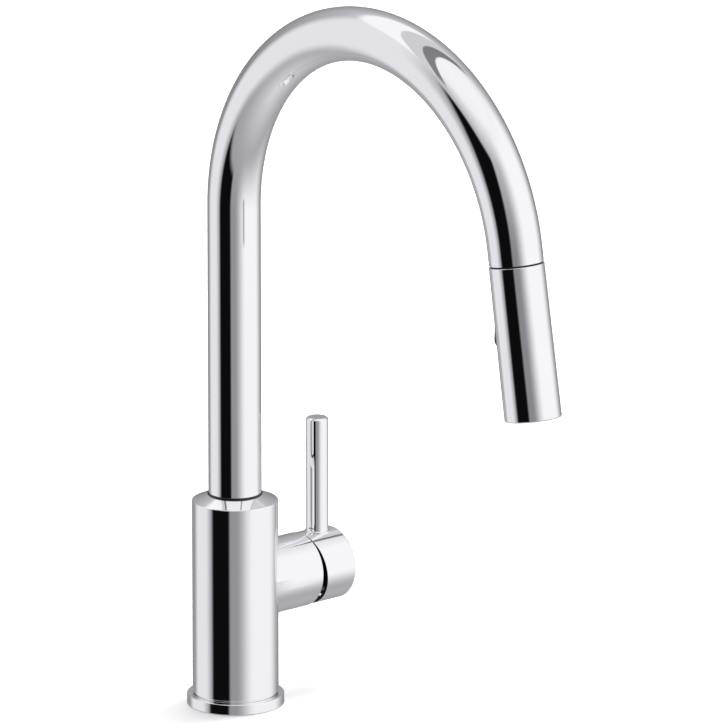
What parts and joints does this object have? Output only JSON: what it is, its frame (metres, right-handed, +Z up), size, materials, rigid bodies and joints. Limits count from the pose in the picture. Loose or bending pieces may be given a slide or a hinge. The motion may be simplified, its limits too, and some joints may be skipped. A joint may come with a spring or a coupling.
{
  "type": "pull down kitchen faucet",
  "caption": "Single-lever kitchen faucet with a round body, side lever, swivelling gooseneck spout and a pull-down spray head with a spray button.",
  "frame": {"origin": "centre of the round body at the deck surface, where the foot ring rests", "axes": "+Z up along the body, spout and spray head towards -Y, lever hub towards +X"},
  "size_m": [0.0991, 0.2858, 0.5048],
  "materials": {
    "chrome": "polished chrome plate, mirror bright",
    "brass": "turned brass, unplated",
    "steel": "zinc plated or stainless steel",
    "rubber": "black nitrile or silicone rubber",
    "black_plastic": "moulded acetal, satin black",
    "grey_plastic": "moulded plastic, fine matt",
    "white_plastic": "moulded acetal, white",
    "ceramic": "lapped alumina ceramic",
    "braid": "braided nylon sleeve over a rubber hose"
  },
  "bodies": {
    "faucet_base": {"body_shell": "chrome", "foot_ring": "chrome", "deck_gasket": "rubber", "shank": "brass", "rubber_pad": "rubber", "clamp_plate": "steel", "deck_nut": "brass", "jack_screws": "steel", "waterway": "brass", "swivel_bushing": "black_plastic", "thrust_washer": "white_plastic", "cartridge_base": "white_plastic", "port_seals": "rubber", "fixed_disc": "ceramic", "cartridge_housing": "grey_plastic", "gland_nut": "brass", "bonnet_dome": "black_plastic"},
    "spout": {"spout_tube": "chrome", "spout_sleeve": "brass", "friction_ring": "rubber", "retaining_clip": "steel", "dock_sleeve": "black_plastic", "spray_hose": "braid", "hose_tail_fitting": "brass", "tail_o_rings": "rubber"},
    "hose_end": {"hose_ferrule": "brass"},
    "spray_head": {"hose_nut": "brass", "head_shell": "chrome", "head_inlet": "brass", "inlet_washer": "rubber", "check_valve": "white_plastic", "head_core": "grey_plastic", "button_pin": "steel", "spray_face": "grey_plastic", "nozzle_mat": "rubber", "aerator_cup": "white_plastic", "aerator_screen": "grey_plastic", "face_o_ring": "rubber"},
    "button": {"spray_button": "grey_plastic"},
    "diverter": {"diverter_spool": "white_plastic", "spool_o_rings": "rubber"},
    "lever_turn": {"disc_carrier": "grey_plastic", "stem_pin": "steel"},
    "mixing_disc": {"moving_disc": "ceramic", "disc_holder": "grey_plastic"},
    "lever": {"valve_stem": "steel", "lever_cap": "chrome", "lever_rod": "chrome", "set_screw": "steel", "screw_plug": "grey_plastic"}
  },
  "joints": [
    {"name": "spout_swivel", "type": "hinge", "parent": "faucet_base", "child": "spout", "pos_m": [0, 0, 0.103], "axis": [0, 0, 1], "range_deg": [-180, 180]},
    {"name": "head_pull", "type": "slide", "parent": "spout", "child": "hose_end", "axis": [0, -0.1633, -0.9866], "range_m": [0, 0.4]},
    {"name": "head_turn", "type": "hinge", "parent": "hose_end", "child": "spray_head", "pos_m": [0, -0.22983, 0.2955], "axis": [0, -0.1633, -0.9866], "continuous": true},
    {"name": "button_rock", "type": "hinge", "parent": "spray_head", "child": "button", "pos_m": [0, -0.22711, 0.26109], "axis": [1, 0, 0], "range_deg": [-9, 0]},
    {"name": "spool_shift", "type": "slide", "parent": "spray_head", "child": "diverter", "axis": [0, 0.1633, 0.9866], "range_m": [0, 0.0012]},
    {"name": "lever_temperature", "type": "hinge", "parent": "faucet_base", "child": "lever_turn", "pos_m": [0.035, 0, 0.0679], "axis": [1, 0, 0], "range_deg": [-45, 45]},
    {"name": "lever_flow", "type": "hinge", "parent": "lever_turn", "child": "lever", "pos_m": [0.035, 0, 0.0679], "axis": [0, 1, 0], "range_deg": [0, 18]},
    {"name": "disc_shift", "type": "slide", "parent": "lever_turn", "child": "mixing_disc", "axis": [0, 0, 1], "range_m": [0, 0.0014]}
  ],
  "couplings": [
    {"joint": "spool_shift", "follows": "button_rock", "m_per_rad": -0.0059},
    {"joint": "disc_shift", "follows": "lever_flow", "m_per_rad": 0.0038}
  ]
}
